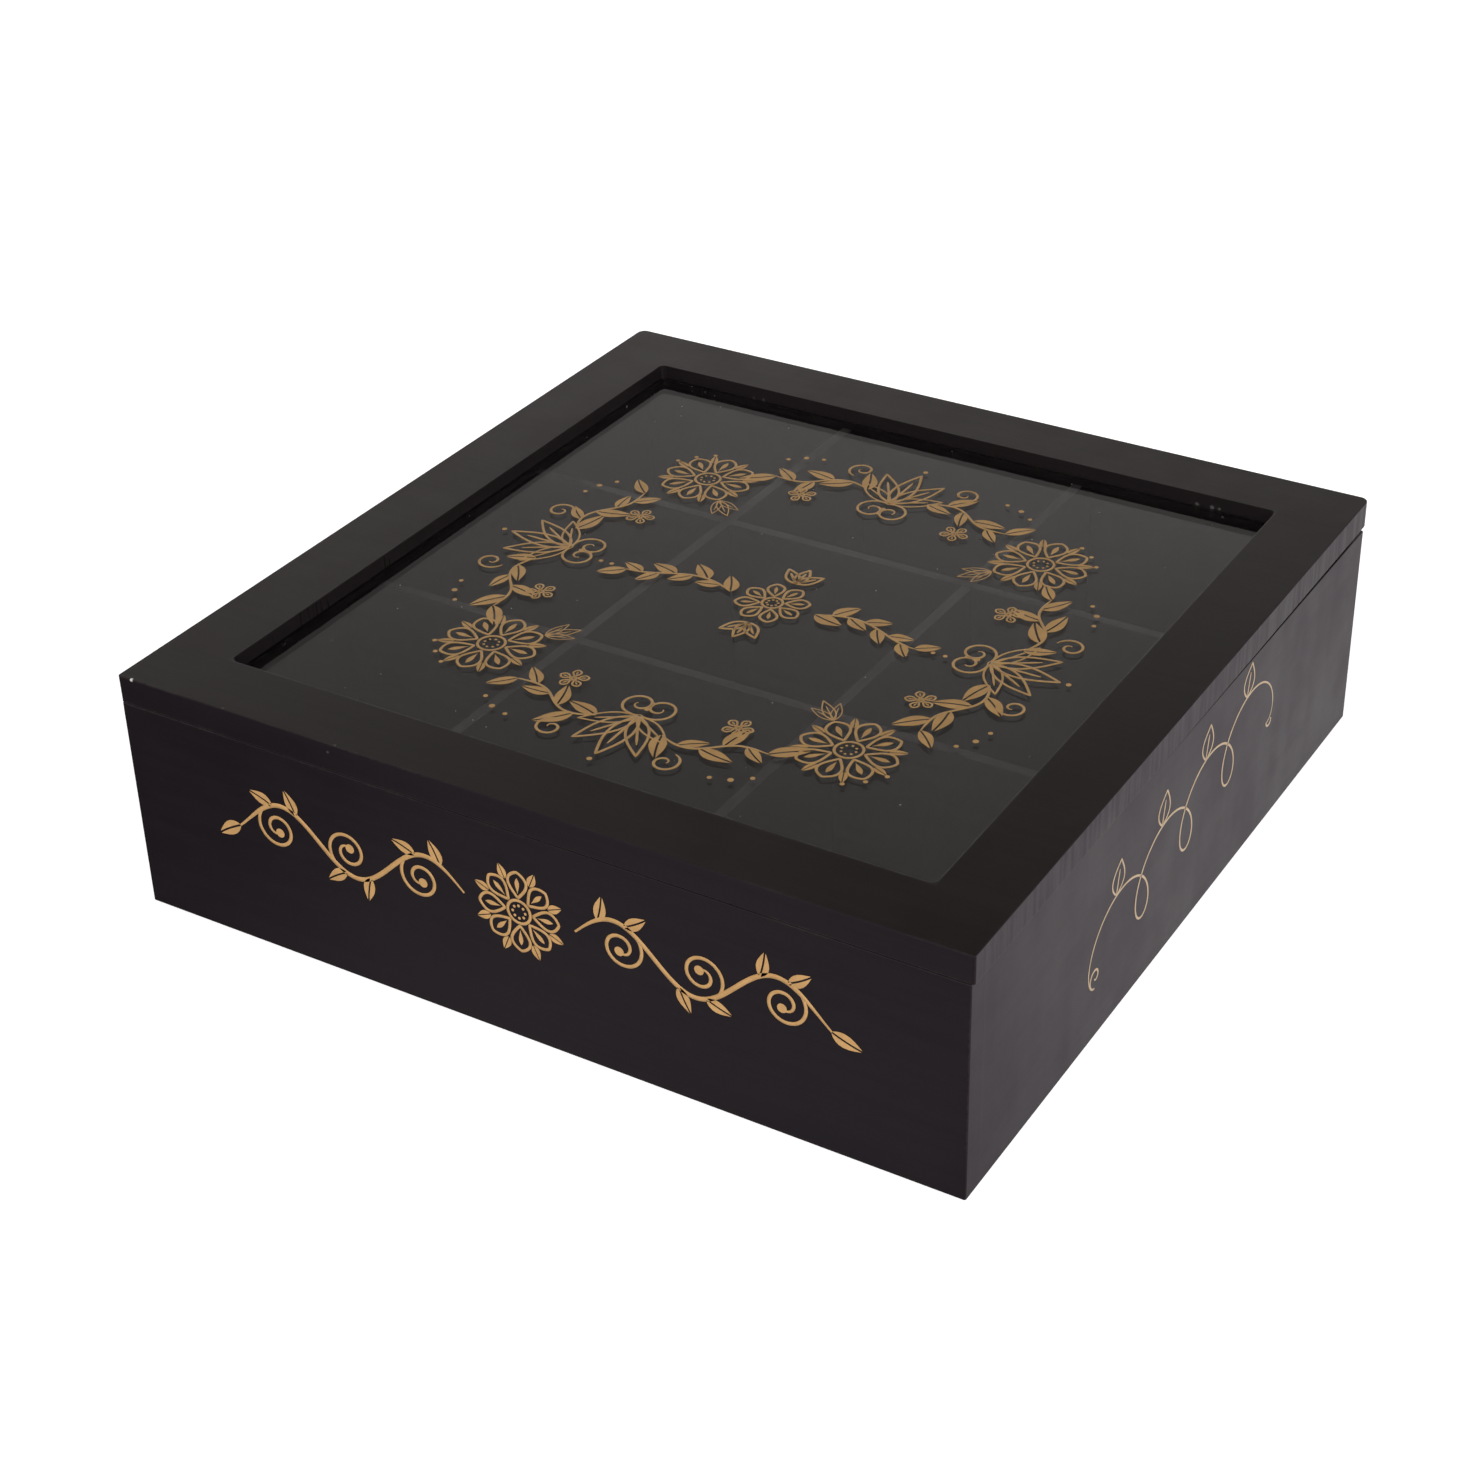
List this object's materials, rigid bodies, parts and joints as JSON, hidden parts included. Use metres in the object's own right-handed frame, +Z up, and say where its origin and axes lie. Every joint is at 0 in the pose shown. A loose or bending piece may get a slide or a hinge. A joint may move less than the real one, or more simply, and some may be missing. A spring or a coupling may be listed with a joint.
{
  "type": "tea bag organizer box",
  "caption": "Low square wooden tea bag box with a grid of compartments under a hinged lid with a glass window.",
  "frame": {"origin": "middle of the box's underside, on the surface it stands on", "axes": "+X to the right along the front, +Y from the front to the hinges, +Z up"},
  "size_m": [0.2404, 0.2409, 0.0709],
  "materials": {
    "wall_wood": "satin black paint over fine-grained board",
    "lid_wood": "satin black paint over fine-grained board",
    "divider_wood": "matt black paint",
    "panel_wood": "matt black paint",
    "strip_wood": "matt black paint",
    "window_glass": "clear float glass",
    "hinge_brass": "brass-plated, satin",
    "pin_steel": "bright drawn wire"
  },
  "bodies": {
    "box": {"bottom_panel": "panel_wood", "front_wall": "wall_wood", "back_wall": "wall_wood", "left_wall": "wall_wood", "right_wall": "wall_wood", "left_divider": "divider_wood", "right_divider": "divider_wood", "front_divider": "divider_wood", "back_divider": "divider_wood", "corner_brads": "pin_steel", "bottom_brads": "pin_steel", "left_hinge_box_leaf": "hinge_brass", "right_hinge_box_leaf": "hinge_brass", "left_hinge_pin": "hinge_brass", "right_hinge_pin": "hinge_brass", "box_screws": "hinge_brass"},
    "lid": {"lid_board": "lid_wood", "glass_pane": "window_glass", "front_strip": "strip_wood", "back_strip": "strip_wood", "left_strip": "strip_wood", "right_strip": "strip_wood", "strip_pins": "pin_steel", "left_hinge_lid_leaf": "hinge_brass", "right_hinge_lid_leaf": "hinge_brass", "lid_screws": "hinge_brass"}
  },
  "joints": [
    {"name": "lid_hinge", "type": "hinge", "parent": "box", "child": "lid", "pos_m": [0, 0.1189, 0.0619], "axis": [-1, 0, 0], "range_deg": [0, 101]}
  ]
}
